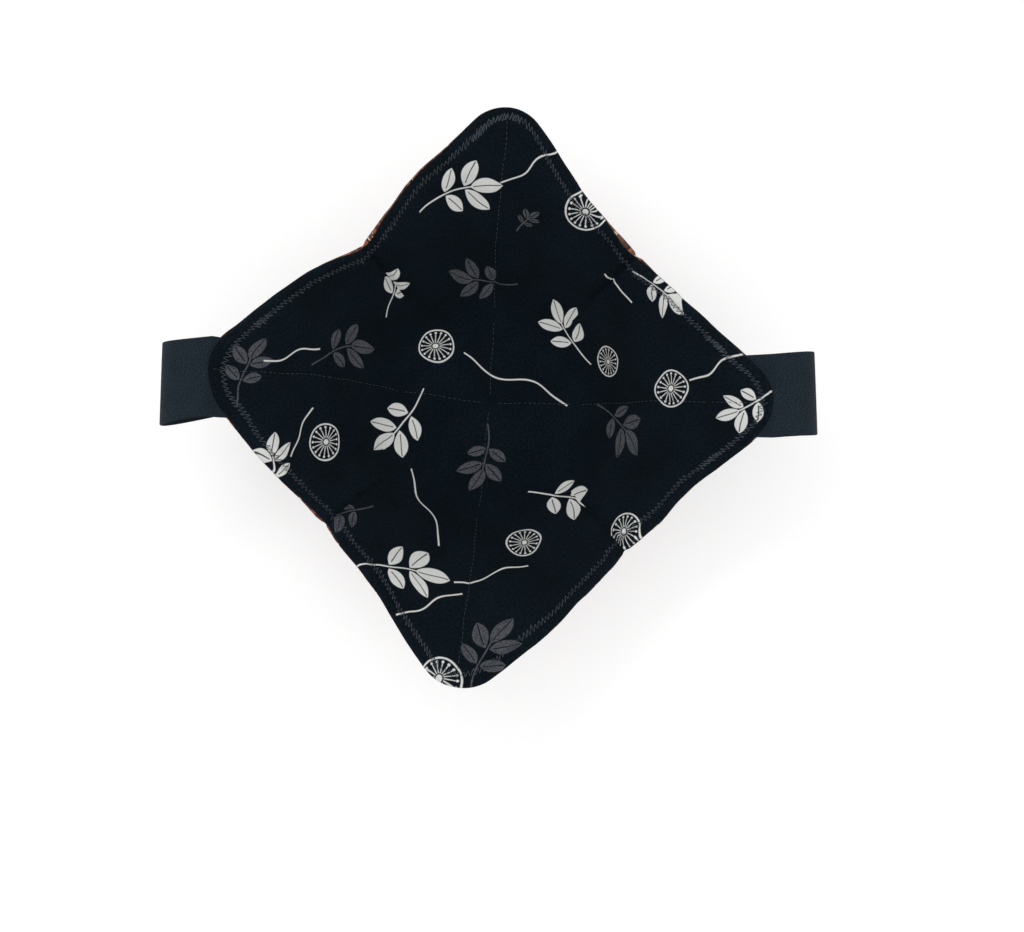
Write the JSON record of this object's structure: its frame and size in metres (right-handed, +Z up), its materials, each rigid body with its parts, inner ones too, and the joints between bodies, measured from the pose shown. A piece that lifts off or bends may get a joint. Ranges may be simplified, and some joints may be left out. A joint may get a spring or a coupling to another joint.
{
  "type": "microwave bowl cozy",
  "caption": "Quilted cotton bowl cozy: a square of padded cloth darted into a shallow bowl with raised corners, with an elastic hand strap at each side corner.",
  "frame": {"origin": "middle of the flat base, on the surface that the cozy stands on", "axes": "+Z up out of the bowl; +X towards the right strap corner; +Y towards the far corner"},
  "size_m": [0.3022, 0.2645, 0.084],
  "materials": {
    "lining_cotton": "matt plain-weave cotton, black with a white and grey print",
    "outer_cotton": "matt plain-weave cotton, mottled brown, rust and cream print",
    "batting": "natural cotton batting",
    "strap_elastic": "matt woven elastic"
  },
  "bodies": {
    "root": {"lining_panel": "lining_cotton", "lining_batting": "batting", "outer_batting": "batting", "outer_panel": "outer_cotton", "left_hand_strap": "strap_elastic", "right_hand_strap": "strap_elastic"}
  },
  "joints": []
}
